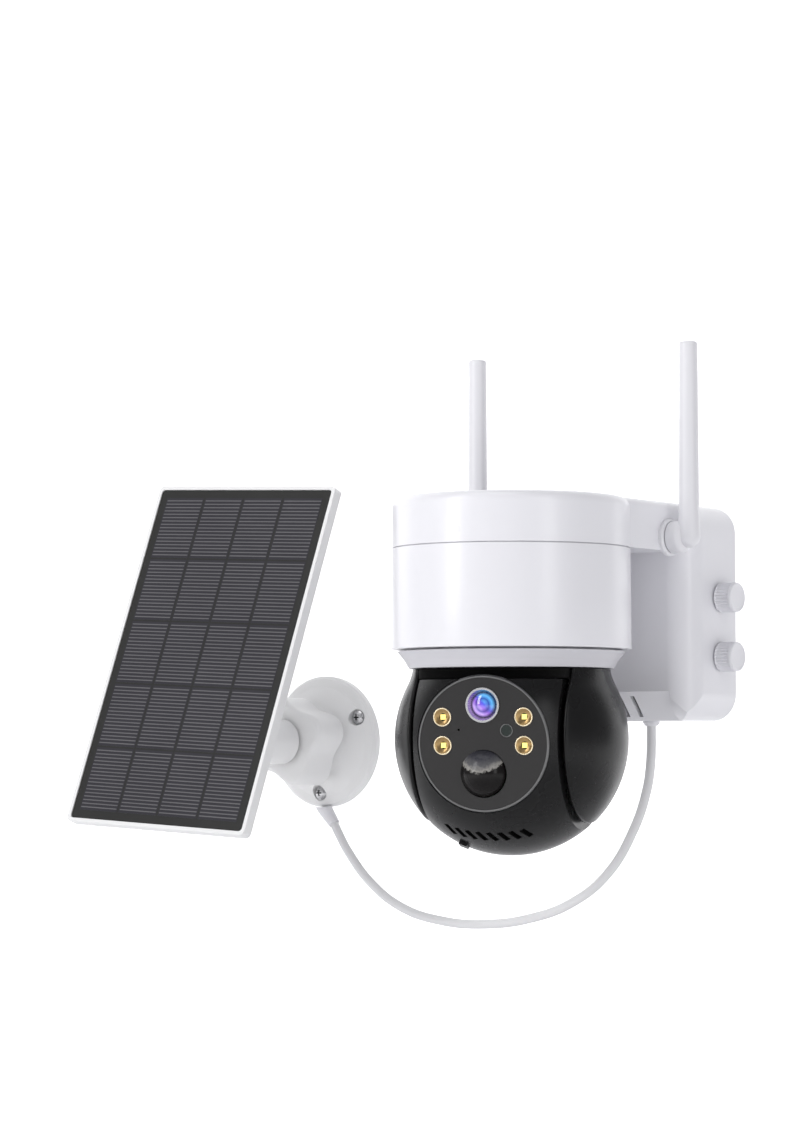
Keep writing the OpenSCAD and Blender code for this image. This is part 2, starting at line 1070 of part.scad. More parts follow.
module bracket_screws() {
    color("silver")
        at_bracket()
            for (a = screw_angles)
                rotate([0, -a, 0])
                    translate([screw_ring_r, -base_t - 2.4, 0])
                        rotate([-90, 0, 0])
                            screw(3.9, 1.8, 4);
}

// Tapered strain relief that leaves the rim of the base in line with the lead
module base_gland() {
    direction = lead_points[0] - lead_start;
    reach = norm(direction);
    color("whitesmoke")
        difference() {
            translate(lead_start)
                rotate([0, -atan2(direction[0], -direction[2]), 0])
                    rotate([180, 0, 0])
                        rotate_extrude()
                            polygon([[0, -4], [4.2, -4], [4.2, 4], [3.2, reach], [0, reach]]);
            at_bracket()
                y_rod(base_r + 0.05, 1, -20);
        }
}

// Nut with four round grip lobes
module lock_ring() {
    color("white")
        at_bracket()
            difference() {
                union() {
                    y_rod(lock_r, lock_near, lock_far + 3);
                    translate([0, lock_far + 3, 0])
                        rotate([90, 0, 0])
                            cylinder(r1 = lock_r, r2 = lock_r - 3, h = 3);
                    for (a = [0 : 90 : 270])
                        rotate([0, a + lobe_angle, 0])
                            translate([0, 0, lock_r - 0.5])
                                y_rod(6.2, lock_near, lock_far + 4);
                }
                for (a = [45 : 90 : 315])
                    rotate([0, a + lobe_angle, 0])
                        translate([0, 0, lock_r + 6])
                            y_rod(7.5, lock_near + 1, lock_far - 1);
                y_rod(neck_base_r - 0.6, lock_near + 1, lock_far + 6.5);
                y_rod(lock_hole_r, lock_far + 8, lock_far - 1);
            }
}

module ball_stud() {
    color("silver")
        at_bracket() {
            translate([0, ball_joint_y, 0])
                sphere(ball_joint_r);
            y_rod(4.95, ball_joint_y, -56);
        }
}

module arm_tube() {
    color("white")
        at_arm()
            difference() {
                union() {
                    y_rod(arm_r, arm_start, arm_end);
                    translate([-7, panel_pivot[1], -ear_r])
                        cube([14, arm_end - panel_pivot[1] + eps, 2 * ear_r]);
                    translate([0, panel_pivot[1], 0])
                        x_rod(ear_r, -7, 7);
                }
                y_rod(5, arm_start + 1, -57);
                y_rod(9.5, -60, arm_end + 4);
                translate([0, panel_pivot[1], 0])
                    x_rod(3.05, -20, 20);
            }
}

// ------------------------------------------------------------ solar panel

// Foot with two ears that hold the arm's end
module panel_foot() {
    color("white")
        at_panel()
            difference() {
                union() {
                    translate([0, -panel_off + 0.05, 0])
                        y_rod(17, 3, 0);
                    for (sx = [-1, 1])
                        translate([sx * 9.8, 0, 0]) {
                            x_rod(ear_r, -2.2, 2.2);
                            translate([-2.2, -panel_off + 2, -ear_r])
                                cube([4.4, panel_off - 2, 2 * ear_r]);
                        }
                }
                x_rod(3.05, -20, 20);
            }
}

module knuckle_bolt() {
    color("silver")
        at_panel() {
            x_rod(3, -12.2, 12.2);
            x_rod(5.2, -15.5, -12.1);
            translate([12.1, 0, 0])
                rotate([0, 90, 0])
                    cylinder(r = 5.4, h = 4, $fn = 6);
        }
}

// Frame of the panel's back face, with the panel's middle at the origin
module at_panel_back() {
    at_panel()
        translate([0, -panel_off, panel_up])
            children();
}

module panel_back() {
    color("white")
        at_panel_back()
            upright_plate(panel_w - 2 * 2.2, panel_h - 2 * 2.2, 2, 0, -2.4);
}

module panel_frame() {
    color("white")
        at_panel_back()
            difference() {
                upright_plate(panel_w, panel_h, 3, 0, -panel_t);
                upright_plate(panel_w - 4.2, panel_h - 4.2, 2, 1, -panel_t - 1);
            }
}

module panel_cells() {
    cell_w = (panel_w - 2 * border - 3) / cell_columns;
    cell_h = (panel_h - 2 * border - 3) / cell_rows;
    color([0.08, 0.08, 0.09])
        at_panel_back()
            difference() {
                upright_plate(panel_w - 4.6, panel_h - 4.6, 1.8, -2.45, -panel_t + 0.4);
                for (i = [1 : cell_columns - 1])
                    translate([(i - cell_columns / 2) * cell_w, -panel_t + 0.4, 0])
                        cube([0.6, 0.3, panel_h - 2 * border - 4], center = true);
                for (j = [1 : cell_rows - 1])
                    translate([0, -panel_t + 0.4, (j - cell_rows / 2) * cell_h])
                        cube([panel_w - 2 * border - 4, 0.3, 0.6], center = true);
            }
}

module panel_junction() {
    color("black")
        at_panel_back()
            translate([-20, 0.05, 8])
                cube([40, 7, 26]);
}

// ------------------------------------------------------------------ lead

function spline_point(a, b, c, d, t) =
    0.5 * (2 * b + (c - a) * t + (2 * a - 5 * b + 4 * c - d) * t * t
           + (3 * b - a - 3 * c + d) * t * t * t);

lead_count = len(lead_points);
lead_steps = 3;
lead_sides = 10;

lead_path = [
    for (i = [0 : lead_count - 2], j = [0 : lead_steps - 1])
        spline_point(lead_points[max(i - 1, 0)], lead_points[i], lead_points[i + 1],
                     lead_points[min(i + 2, lead_count - 1)], j / lead_steps),
    lead_points[lead_count - 1]
];

function unit(v) = v / norm(v);

function lead_heading(k) =
    let (last = len(lead_path) - 1)
        unit(k == last ? [0, 0, 1] : lead_path[min(k + 1, last)] - lead_path[max(k - 1, 0)]);

function lead_ring(k) =
    let (ahead = lead_heading(k), side = unit(cross(ahead, [0, 1, 0])), out = cross(side, ahead))
        [for (s = [0 : lead_sides - 1])
            lead_path[k] + lead_r * (cos(s * 360 / lead_sides) * side
                                     + sin(s * 360 / lead_sides) * out)];

module solar_lead() {
    rings = len(lead_path);
    color("whitesmoke")
        polyhedron(
            points = [for (k = [0 : rings - 1]) each lead_ring(k)],
            faces = [
                [for (s = [0 : lead_sides - 1]) s],
                for (k = [0 : rings - 2], s = [0 : lead_sides - 1])
                    [k * lead_sides + s, (k + 1) * lead_sides + s,
                     (k + 1) * lead_sides + (s + 1) % lead_sides,
                     k * lead_sides + (s + 1) % lead_sides],
                [for (s = [lead_sides - 1 : -1 : 0]) (rings - 1) * lead_sides + s]
            ]
        );
}

// ------------------------------------------------------------- selection

wall_plate();
box_back();
battery_box();
box_screws();
battery_cells();
battery_holder();
charge_board();
lead_gland();
vent_mesh();
clamp_screw_upper();
clamp_screw_lower();
top_cover();
drum_shell();
drum_collar();
cover_screws();
main_board();
pan_bearing();
pan_motor();
pan_pinion();
pan_gear();
yoke_shell();
yoke_shaft();
cheek_plate_left();
cheek_plate_right();
tilt_motor();
tilt_pinion();
ball_shell();
ball_rear_cover();
tilt_trunnions();
tilt_gear();
reset_cover();
face_rim();
face_plate();
lens_barrel();
lens_glass();
lamp_rings();
lamp_chips();
motion_dome();
light_sensor();
sensor_board();
image_board();
speaker();
aerial_boss_left();
aerial_boss_right();
aerial_left();
aerial_right();
bracket_base();
bracket_screws();
base_gland();
lock_ring();
ball_stud();
arm_tube();
panel_foot();
knuckle_bolt();
panel_back();
panel_frame();
panel_cells();
panel_junction();
solar_lead();
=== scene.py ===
import json
import math

import bmesh
import bpy
from mathutils import Matrix, Vector


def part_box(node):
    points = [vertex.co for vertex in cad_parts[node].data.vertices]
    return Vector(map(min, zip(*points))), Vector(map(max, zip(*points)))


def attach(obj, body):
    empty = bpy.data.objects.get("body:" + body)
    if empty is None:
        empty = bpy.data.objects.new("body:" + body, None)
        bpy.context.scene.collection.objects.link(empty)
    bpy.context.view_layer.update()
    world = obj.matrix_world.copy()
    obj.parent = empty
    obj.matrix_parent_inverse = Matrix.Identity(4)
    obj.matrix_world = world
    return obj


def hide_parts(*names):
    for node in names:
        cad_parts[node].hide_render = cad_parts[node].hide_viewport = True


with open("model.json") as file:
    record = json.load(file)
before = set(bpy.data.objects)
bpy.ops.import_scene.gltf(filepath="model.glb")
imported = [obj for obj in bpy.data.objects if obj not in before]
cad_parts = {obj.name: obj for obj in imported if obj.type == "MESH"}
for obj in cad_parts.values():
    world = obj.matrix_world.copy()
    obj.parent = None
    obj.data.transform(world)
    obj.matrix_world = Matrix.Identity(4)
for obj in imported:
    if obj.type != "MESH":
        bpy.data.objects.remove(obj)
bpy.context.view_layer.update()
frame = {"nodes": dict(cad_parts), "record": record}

MM = 0.001
JOINTS = {j["name"]: j for j in frame["record"]["behaviour"]["joints"]}
SLOT_OF = {s["node"]: s["material_slot"] for s in frame["record"]["subparts"]}

# ------------------------------------------------------------------ camera

SENSOR = 36.0            # mm along the picture's long side
FOCAL = 101.1            # mm
VIEW_YAW = 37.0          # degrees from straight on to the wall, seen from the right
VIEW_PITCH = 3.23        # degrees that the camera looks upwards
CAMERA_AT = Vector((0.9184, -1.4284, -0.0705))


def make_camera():
    data = bpy.data.cameras.new("camera")
    data.lens = FOCAL
    data.sensor_width = SENSOR
    data.clip_end = 30.0
    camera = bpy.data.objects.new("camera", data)
    bpy.context.scene.collection.objects.link(camera)
    camera.location = CAMERA_AT
    camera.rotation_euler = (math.radians(90 + VIEW_PITCH), 0, math.radians(VIEW_YAW))
    bpy.context.scene.camera = camera


make_camera()

# --------------------------------------------------------------- materials


def socket(node, name, value):
    node.inputs[name].default_value = value


def surface(name, colour, rough, metal=0.0, coat=0.0, coat_rough=0.1, spec=0.5):
    """A Principled material and its node tree, for the functions below to add detail to."""
    material = bpy.data.materials.new(name)
    material.use_nodes = True
    shader = material.node_tree.nodes["Principled BSDF"]
    socket(shader, "Base Color", (*colour, 1.0))
    socket(shader, "Roughness", rough)
    socket(shader, "Metallic", metal)
    socket(shader, "Coat Weight", coat)
    socket(shader, "Coat Roughness", coat_rough)
    socket(shader, "Specular IOR Level", spec)
    return material, material.node_tree, shader


def place(tree, stretch=(1, 1, 1)):
    """Object coordinates, in metres, stretched by a factor each way."""
    coords = tree.nodes.new("ShaderNodeTexCoord")
    mapping = tree.nodes.new("ShaderNodeMapping")
    socket(mapping, "Scale", stretch)
    tree.links.new(coords.outputs["Object"], mapping.inputs["Vector"])
    return mapping.outputs["Vector"]


def noise(tree, where, scale, detail=3.0):
    node = tree.nodes.new("ShaderNodeTexNoise")
    socket(node, "Scale", scale)
    socket(node, "Detail", detail)
    tree.links.new(where, node.inputs["Vector"])
    return node.outputs["Fac"]


def spread(tree, value, low, high):
    """Maps a 0 to 1 value on to low to high."""
    node = tree.nodes.new("ShaderNodeMapRange")
    socket(node, "To Min", low)
    socket(node, "To Max", high)
    tree.links.new(value, node.inputs["Value"])
    return node.outputs["Result"]


def bump(tree, shader, height, strength, distance):
    node = tree.nodes.new("ShaderNodeBump")
    socket(node, "Strength", strength)
    socket(node, "Distance", distance)
    tree.links.new(height, node.inputs["Height"])
    tree.links.new(node.outputs["Normal"], shader.inputs["Normal"])


def two_colours(tree, shader, factor, first, second):
    ramp = tree.nodes.new("ShaderNodeValToRGB")
    ramp.color_ramp.elements[0].color = (*first, 1.0)
    ramp.color_ramp.elements[1].color = (*second, 1.0)
    tree.links.new(factor, ramp.inputs["Fac"])
    tree.links.new(ramp.outputs["Color"], shader.inputs["Base Color"])
    return ramp


def moulded(name, light, dark, rough, grain=900.0, depth=0.00002, coat=0.0, spec=0.5):
    """Moulded plastic: a fine spark-eroded grain, slight sheen and tone changes."""
    material, tree, shader = surface(name, light, rough, coat=coat, coat_rough=0.12, spec=spec)
    where = place(tree)
    cloud = noise(tree, where, 14.0, 2.0)
    two_colours(tree, shader, cloud, dark, light)
    tree.links.new(spread(tree, noise(tree, where, 60.0), rough - 0.05, rough + 0.06),
                   shader.inputs["Roughness"])
    bump(tree, shader, noise(tree, where, grain, 2.0), 0.35, depth)
    return material


def metal(name, light, dark, rough, stretch=(1, 1, 14)):
    """Turned or brushed metal with fine streaks."""
    material, tree, shader = surface(name, light, rough, metal=1.0)
    where = place(tree, stretch)
    streaks = noise(tree, where, 500.0, 4.0)
    two_colours(tree, shader, streaks, dark, light)
    tree.links.new(spread(tree, streaks, rough - 0.06, rough + 0.1), shader.inputs["Roughness"])
    bump(tree, shader, streaks, 0.25, 0.00001)
    return material


WHITE = moulded("white_housing", (0.80, 0.797, 0.83), (0.78, 0.777, 0.81), 0.3, coat=0.1)
WHITE_BRACKET = moulded("white_bracket", (0.82, 0.82, 0.82), (0.80, 0.80, 0.80), 0.42)
WHITE_SOFT = moulded("white_soft", (0.76, 0.757, 0.785), (0.74, 0.737, 0.765), 0.36, grain=700.0)
# white plastic ring coloured mid grey: painted shade for its downward-facing slope
COLLAR_PAINTED_SHADE = moulded("collar_white_painted_shade", (0.60, 0.595, 0.63), (0.58, 0.575, 0.61), 0.35)
BLACK_GLOSS = moulded("black_gloss", (0.008, 0.008, 0.0082), (0.006, 0.006, 0.0062), 0.27,
                      grain=1200.0, depth=0.000006, spec=0.2)
# near-black matte for the yoke's bridge: painted shade standing for the dark void under the collar
BLACK_PAINTED_SHADE = moulded("black_painted_shade", (0.005, 0.005, 0.005), (0.003, 0.003, 0.003), 0.7, spec=0.1)
BLACK_MATTE = moulded("black_matte", (0.02, 0.02, 0.021), (0.012, 0.012, 0.013), 0.55)
GREY_INNER = moulded("grey_inner", (0.22, 0.22, 0.23), (0.18, 0.18, 0.19), 0.5)
IVORY = moulded("ivory_acetal", (0.78, 0.74, 0.62), (0.72, 0.68, 0.56), 0.4)
FACE_DARK = moulded("face_smoked", (0.025, 0.024, 0.024), (0.021, 0.020, 0.020), 0.3,
                    grain=1500.0, depth=0.000004, spec=0.3)
STEEL = metal("steel", (0.62, 0.62, 0.63), (0.42, 0.42, 0.43), 0.25)
BRASS = metal("brass", (0.80, 0.56, 0.22), (0.6, 0.4, 0.14), 0.3)
GOLD = metal("lamp_gold", (0.46, 0.32, 0.15), (0.30, 0.19, 0.08), 0.3)
PALE_GOLD = metal("lamp_rim_gold", (0.95, 0.84, 0.62), (0.86, 0.72, 0.48), 0.25)
RIM_METAL = metal("rim_metal", (0.20, 0.20, 0.20), (0.14, 0.14, 0.14), 0.35)
BATTERY = moulded("battery_wrap", (0.06, 0.2, 0.42), (0.05, 0.16, 0.36), 0.25, coat=0.4)
SHEATH = moulded("lead_sheath", (0.74, 0.74, 0.75), (0.71, 0.71, 0.72), 0.4, grain=500.0)
LAMINATE = moulded("panel_laminate", (0.024, 0.024, 0.023), (0.020, 0.020, 0.019), 0.34,
                   grain=1100.0, depth=0.00001, spec=0.35)
CELL = moulded("solar_silicon", (0.036, 0.035, 0.042), (0.029, 0.028, 0.034), 0.3,
               grain=1400.0, depth=0.000005, spec=0.3)
FINGER = moulded("cell_finger", (0.125, 0.122, 0.13), (0.10, 0.098, 0.105), 0.38, grain=1400.0)
SENSOR_GREEN = moulded("sensor_green", (0.002, 0.012, 0.008), (0.001, 0.007, 0.005), 0.16,
                       grain=900.0, depth=0.000004)


def board_material():
    """Green solder mask with lighter tracks."""
    material, tree, shader = surface("circuit_board", (0.02, 0.13, 0.05), 0.35, coat=0.4)
    brick = tree.nodes.new("ShaderNodeTexBrick")
    socket(brick, "Scale", 220.0)
    socket(brick, "Mortar Size", 0.03)
    socket(brick, "Color1", (0.015, 0.11, 0.045, 1))
    socket(brick, "Color2", (0.02, 0.14, 0.055, 1))
    socket(brick, "Mortar", (0.09, 0.3, 0.13, 1))
    tree.links.new(place(tree), brick.inputs["Vector"])
    tree.links.new(brick.outputs["Color"], shader.inputs["Base Color"])
    bump(tree, shader, brick.outputs["Fac"], 0.3, 0.00003)
    return material


BOARD = board_material()


def simple_glow(name, colour, strength):
    """Lightly mottled surface that also gives off its own colour."""
    material, tree, shader = surface(name, colour, 0.35)
    where = place(tree)
    two_colours(tree, shader, noise(tree, where, 900.0), [c * 0.85 for c in colour], colour)
    socket(shader, "Emission Color", (*colour, 1.0))
    socket(shader, "Emission Strength", strength)
    return material


CHIP = simple_glow("lamp_phosphor", (1.0, 0.78, 0.22), 0.8)


def separate(tree, where):
    node = tree.nodes.new("ShaderNodeSeparateXYZ")
    tree.links.new(where, node.inputs["Vector"])
    return node.outputs


def maths(tree, operation, first, second=0.0):
    """One Math node; each operand is a socket or a number."""
    node = tree.nodes.new("ShaderNodeMath")
    node.operation = operation
    for i, value in enumerate((first, second)):
        if isinstance(value, float):
            node.inputs[i].default_value = value
        else:
            tree.links.new(value, node.inputs[i])
    return node.outputs["Value"]


def ramp(tree, factor, stops, interpolation="LINEAR"):
    node = tree.nodes.new("ShaderNodeValToRGB")
    node.color_ramp.interpolation = interpolation
    elements = node.color_ramp.elements
    while len(elements) < len(stops):
        elements.new(0.5)
    for element, (at, colour) in zip(elements, stops):
        element.position = at
        element.color = (*colour, 1.0)
    tree.links.new(factor, node.inputs["Fac"])
    return node.outputs["Color"]


def lens_painted_reflection_material(radius):
    """Coated glass: violet tint at the lower left to a painted cyan reflection at the upper right,
    dark in the middle, with painted reflection rings and a painted glow.
    """
    material, tree, shader = surface("lens_coating_painted_reflection", (0.1, 0.05, 0.4), 0.06, coat=1.0,
                                     coat_rough=0.03)
    where = place(tree)
    x, y, _ = separate(tree, where)
    across = maths(tree, "ADD", maths(tree, "MULTIPLY", x, 0.45 / radius),
                   maths(tree, "MULTIPLY", y, 0.5 / radius))
    wobble = spread(tree, noise(tree, where, 420.0, 2.0), -0.12, 0.12)
    slant = maths(tree, "ADD", maths(tree, "ADD", across, 0.5), wobble)
    tint_and_painted_reflection = ramp(tree, slant, [(0.1, (0.62, 0.44, 0.86)), (0.38, (0.30, 0.12, 0.62)),
                             (0.58, (0.10, 0.10, 0.62)), (0.85, (0.12, 0.52, 0.85))])
    out = tree.nodes.new("ShaderNodeVectorMath")
    out.operation = "LENGTH"
    tree.links.new(where, out.inputs[0])
    # painted reflections: pale rings at set distances from the middle of the lens
    rings = ramp(tree, maths(tree, "MULTIPLY", out.outputs["Value"], 1.0 / radius),
                 [(0.0, (0.05, 0.06, 0.2)), (0.13, (0.02, 0.02, 0.12)), (0.2, (0.5, 0.8, 1.0)),
                  (0.42, (0.75, 0.75, 0.85)), (0.58, (0.16, 0.14, 0.4)), (0.78, (0.8, 0.75, 0.9)),
                  (1.0, (0.03, 0.02, 0.08))])
    mix = tree.nodes.new("ShaderNodeMix")
    mix.data_type = "RGBA"
    mix.blend_type = "MULTIPLY"
    mix.inputs["Factor"].default_value = 1.0
    tree.links.new(tint_and_painted_reflection, mix.inputs["A"])
    tree.links.new(rings, mix.inputs["B"])
    tree.links.new(mix.outputs["Result"], shader.inputs["Base Color"])
    # painted glow: the lens gives off its own colour though it is no lamp
    tree.links.new(mix.outputs["Result"], shader.inputs["Emission Color"])
    socket(shader, "Emission Strength", 0.55)
    return material


def dome_painted_reflection_material(radius):
    """Dark moulded lens with a painted reflection: the upper half milky grey above an uneven edge
    across the middle.
    """
    material, tree, shader = surface("dome_lens", (0.01, 0.01, 0.01), 0.2, coat=0.12,
                                     coat_rough=0.1, spec=0.1)
    where = place(tree)
    x, y, _ = separate(tree, where)
    jag = spread(tree, noise(tree, where, 700.0, 5.0), -0.09, 0.09)
    bow = maths(tree, "MULTIPLY", maths(tree, "MULTIPLY", x, x), -0.25 / radius / radius)
    height = maths(tree, "MULTIPLY", y, 0.5 / radius)
    painted_reflection_level = maths(tree, "ADD", maths(tree, "ADD", height, 0.5), maths(tree, "ADD", jag, bow))
    # painted reflection: a pale grey band just above the middle, fading darker towards the top; the
    # lower half stays dark
    colour = ramp(tree, painted_reflection_level, [(0.0, (0.007, 0.006, 0.006)), (0.5, (0.008, 0.007, 0.007)),
                                (0.55, (0.30, 0.29, 0.27)), (0.66, (0.11, 0.11, 0.115)),
                                (0.84, (0.04, 0.04, 0.05)), (1.0, (0.02, 0.02, 0.025))])
    tree.links.new(colour, shader.inputs["Base Color"])
    return material


MATERIAL_OF = {
    "white_housing": WHITE, "white_bracket": WHITE_BRACKET, "white_soft": WHITE_SOFT,
    "grey_inner": GREY_INNER, "black_gloss": BLACK_GLOSS, "face_dark": FACE_DARK,
    "face_rim": RIM_METAL, "steel": STEEL, "lamp_gold": GOLD, "lamp_chip": CHIP,
    "circuit_board": BOARD, "battery_wrap": BATTERY, "ivory_gear": IVORY, "brass_gear": BRASS,
    "black_matte": BLACK_MATTE, "lead_sheath": SHEATH, "dome_lens": BLACK_GLOSS,
    "sensor_green": SENSOR_GREEN, "lens_glass": BLACK_GLOSS, "solar_cells": LAMINATE,
}


def dress_cad_nodes():
    """Gives every carried-over CAD node its procedural material."""
    for name, slot_name in SLOT_OF.items():
        piece = frame["nodes"][name]
        for i in range(len(piece.material_slots)):
            piece.material_slots[i].material = MATERIAL_OF[slot_name]


dress_cad_nodes()

# -------------------------------------------------------------- solar lead

LEAD_POINTS = [
    (-0.199, -0.007, -0.112), (-0.195, -0.008, -0.1175), (-0.187, -0.009, -0.128),
    (-0.171, -0.010, -0.144), (-0.149, -0.011, -0.157), (-0.121, -0.0125, -0.1635),
    (-0.091, -0.014, -0.1645), (-0.060, -0.0155, -0.1605), (-0.031, -0.017, -0.151),
    (-0.008, -0.0185, -0.1355), (0.009, -0.020, -0.113), (0.0185, -0.021, -0.091),
    (0.0215, -0.022, -0.077), (0.022, -0.022, -0.067), (0.022, -0.022, -0.058),
]
LEAD_DIAMETER = 0.005


def make_lead():
    curve = bpy.data.curves.new("solar_cable", "CURVE")
    curve.dimensions = "3D"
    curve.bevel_depth = LEAD_DIAMETER / 2
    curve.bevel_resolution = 6
    curve.resolution_u = 10
    spline = curve.splines.new("BEZIER")
    spline.bezier_points.add(len(LEAD_POINTS) - 1)
    for point, at in zip(spline.bezier_points, LEAD_POINTS):
        point.co = at
        point.handle_left_type = point.handle_right_type = "AUTO"
    lead = bpy.data.objects.new("solar_cable", curve)
    bpy.context.scene.collection.objects.link(lead)
    curve.materials.append(SHEATH)
    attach(lead, "housing")
    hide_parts("solar_lead")


make_lead()

# ------------------------------------------------------------ mesh helpers


def add_piece(name, bm, material, body, where=None, sharp=35):
    """Makes a smooth-shaded piece on a body that stands for the CAD nodes; where places it."""
    bmesh.ops.remove_doubles(bm, verts=bm.verts, dist=1e-7)
    bmesh.ops.recalc_face_normals(bm, faces=bm.faces)
    mesh = bpy.data.meshes.new(name)
    bm.to_mesh(mesh)
    bm.free()
    for face in mesh.polygons:
        face.use_smooth = True
    mesh.set_sharp_from_angle(angle=math.radians(sharp))
    mesh.materials.append(material)
    piece = bpy.data.objects.new(name, mesh)
    bpy.context.scene.collection.objects.link(piece)
    if where is not None:
        piece.matrix_world = where
        bpy.context.view_layer.update()
    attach(piece, body)
    return piece


def stand_in(name, bm, material, body, *nodes, where=None, sharp=35):
    piece = add_piece(name, bm, material, body, where, sharp)
    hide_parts(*nodes)
    return piece


def filleted(corners, steps=5):
    """Closed outline from (x, y, radius) corners, each rounded by an arc of that radius."""
    outline = []
    for i, (x, y, radius) in enumerate(corners):
        at = Vector((x, y))
        if not radius:
            outline.append(at)
            continue
        back = (Vector(corners[i - 1][:2]) - at).normalized()
        ahead = (Vector(corners[(i + 1) % len(corners)][:2]) - at).normalized()
        half = back.angle(ahead) / 2
        middle = at + (back + ahead).normalized() * radius / math.sin(half)
        start = at + back * radius / math.tan(half) - middle
        end = at + ahead * radius / math.tan(half) - middle
        turn = start.angle(end)
        for k in range(steps + 1):
            t = k / steps
            outline.append(middle + (start * math.sin((1 - t) * turn) + end * math.sin(t * turn))
                           / math.sin(turn))
    return [(p.x, p.y) for p in outline]


def bridge_rings(bm, first, second):
    """Faces between two closed rings; a ring of one vertex is a point."""
    count = max(len(first), len(second))
    for i in range(count):
        j = (i + 1) % count
        corners = [first[i % len(first)], first[j % len(first)],
                   second[j % len(second)], second[i % len(second)]]
        corners = list(dict.fromkeys(corners))
        if len(corners) > 2:
            bm.faces.new(corners)


def turned(bm, outline, where=Matrix(), steps=144, radius_at=None):
    """Turns a closed outline of (radius, height) points in mm round the local Z axis.

    radius_at(radius, height, angle) may change the radius, for ribs.
    """
    rings = []
    for radius, height in outline:
        if radius < 1e-6:
            rings.append([bm.verts.new(where @ Vector((0, 0, height * MM)))])
            continue
        ring = []
        for i in range(steps):
            angle = 2 * math.pi * i / steps
            r = radius_at(radius, height, angle) if radius_at else radius
            ring.append(bm.verts.new(where @ (Vector((r * math.cos(angle), r * math.sin(angle),
                                                      height)) * MM)))
        rings.append(ring)
    for first, second in zip(rings, rings[1:] + rings[:1]):
        bridge_rings(bm, first, second)


def slab(bm, outline, low, high, bevel=0.0):
    """Prism over a closed outline of (x, y) points in mm, with a chamfered top edge."""
    rings = []
    for inset, z in ((0, low), (0, high - bevel), (bevel, high)):
        ring = []
        for x, y in outline:
            shrink = 1 - inset / max(math.hypot(x, y), 1e-6)
            ring.append(bm.verts.new(Vector((x * shrink, y * shrink, z)) * MM))
        rings.append(ring)
    bridge_rings(bm, rings[0], rings[1])
    bridge_rings(bm, rings[1], rings[2])
    bm.faces.new(rings[0])
    bm.faces.new(rings[2])


def block(bm, x, y, wide, high, low, top):
    """Upright box round the point x, y from low to top, in mm."""
    corners = [(x + sx * wide / 2, y + sy * high / 2) for sx, sy in
               ((-1, -1), (1, -1), (1, 1), (-1, 1))]
    rings = [[bm.verts.new(Vector((cx, cy, z)) * MM) for cx, cy in corners] for z in (low, top)]
    bridge_rings(bm, rings[0], rings[1])
    bm.faces.new(rings[0])
    bm.faces.new(rings[1])


def centre_of(node):
    low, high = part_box(node)
    return (low + high) / 2


# --------------------------------------------------------- drum and collar

PAN_AT = Vector(JOINTS["pan"]["pos_m"])
BALL_AT = Vector(JOINTS["tilt"]["pos_m"])
TILT_AXIS = Vector(JOINTS["tilt"]["axis"])


def on_pan_axis():
    return Matrix.Translation((PAN_AT.x, PAN_AT.y, 0))


def make_drum():
    low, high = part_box("drum_shell")
    bottom = low.z / MM
    seam = high.z / MM - 3
    r = (high.x - low.x) / 2 / MM
    bm = bmesh.new()
    turned(bm, filleted([
        (30, bottom, 0), (r - 3.2, bottom, 0), (r - 2.6, bottom + 0.7, 0), (r - 1.6, bottom, 0.2),
        (r, bottom, 0.6), (r - 0.3, seam, 0.5), (r - 1.6, seam, 0), (r - 1.6, seam + 0.4, 0),
        (r - 3.3, seam + 0.4, 0), (r - 3.3, seam + 3, 0), (r - 5, seam + 3, 0),
        (r - 5, bottom + 2.5, 0), (30, bottom + 2.5, 0)]), on_pan_axis(), 192)
    stand_in("drum", bm, WHITE, "housing", "drum_shell")


def make_collar():
    low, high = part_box("drum_collar")
    bottom = low.z / MM
    top = high.z / MM
    bm = bmesh.new()
    turned(bm, filleted([
        (26, bottom, 0), (48.2, bottom, 0), (48.8, bottom + 1, 0.3), (49.6, bottom, 0.2),
        (51.2, bottom, 0.5), (53.6, bottom + 4.1, 6), (57.2, top - 1, 0.25), (52, top - 1, 0),
        (52, top, 0), (26, top, 0)]), on_pan_axis(), 192)
    stand_in("collar", bm, COLLAR_PAINTED_SHADE, "housing", "drum_collar")


make_drum()
make_collar()

# --------------------------------------------------------------- the yoke

YOKE = Matrix.Translation(BALL_AT) @ Matrix.Rotation(math.atan2(TILT_AXIS.y, TILT_AXIS.x), 4, "Z")
YOKE_R = 58.4
NECK_R = 49.4
NECK_TOP = 34.5
BRIDGE_LOW = 29.6
BRIDGE_FRONT = -34.0
CHEEK_X = 38.6           # inner face of each cheek, from the middle plane
CHEEK_EDGE = 1.3         # rounding along the gap beside the ball
PLATE_R = 31.8
PLATE_SINK = 0.3


def yoke_radius(height):
    """Outer radius at a height above the ball's centre: the ball, blended into the neck."""
    ball = math.sqrt(max(YOKE_R ** 2 - height ** 2, 0))
    if height < 10:
        return ball
    soft = 3.0
    share = max(soft - abs(ball - NECK_R), 0) / soft
    return max(ball, NECK_R) + share * share * soft * 0.25


